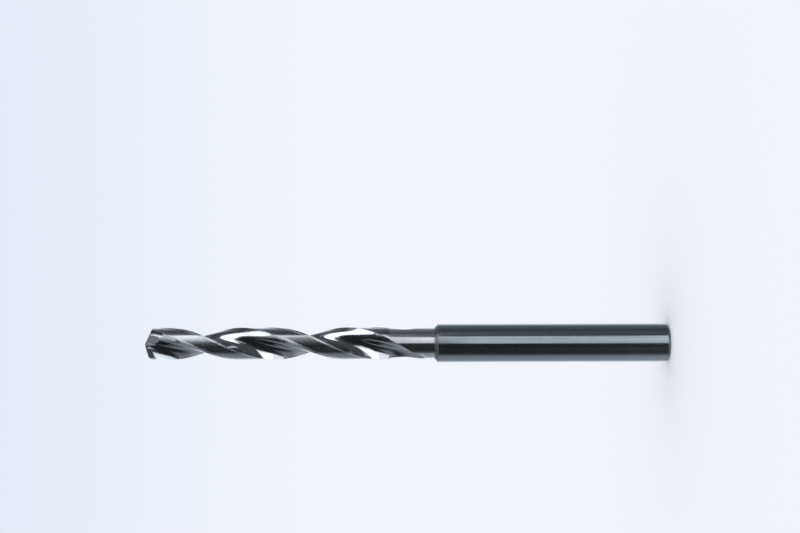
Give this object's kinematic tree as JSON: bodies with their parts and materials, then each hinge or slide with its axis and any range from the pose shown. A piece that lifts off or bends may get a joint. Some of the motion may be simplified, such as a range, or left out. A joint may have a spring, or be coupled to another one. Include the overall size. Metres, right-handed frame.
{
  "type": "solid carbide twist drill bit",
  "caption": "Solid carbide twist drill bit: plain round shank, slim neck, right-hand helical flutes with narrow margins, through coolant holes and a thinned, faceted point.",
  "frame": {"origin": "centre of the shank's end face, where the drill stands", "axes": "+Z runs along the drill's axis from the shank end to the point; the outer corner of one lip lies 35 degrees from +X towards +Y"},
  "size_m": [0.006, 0.006, 0.082],
  "materials": {
    "carbide": "ground, bright grey"
  },
  "bodies": {
    "root": {"drill_bit": "carbide"}
  },
  "joints": []
}
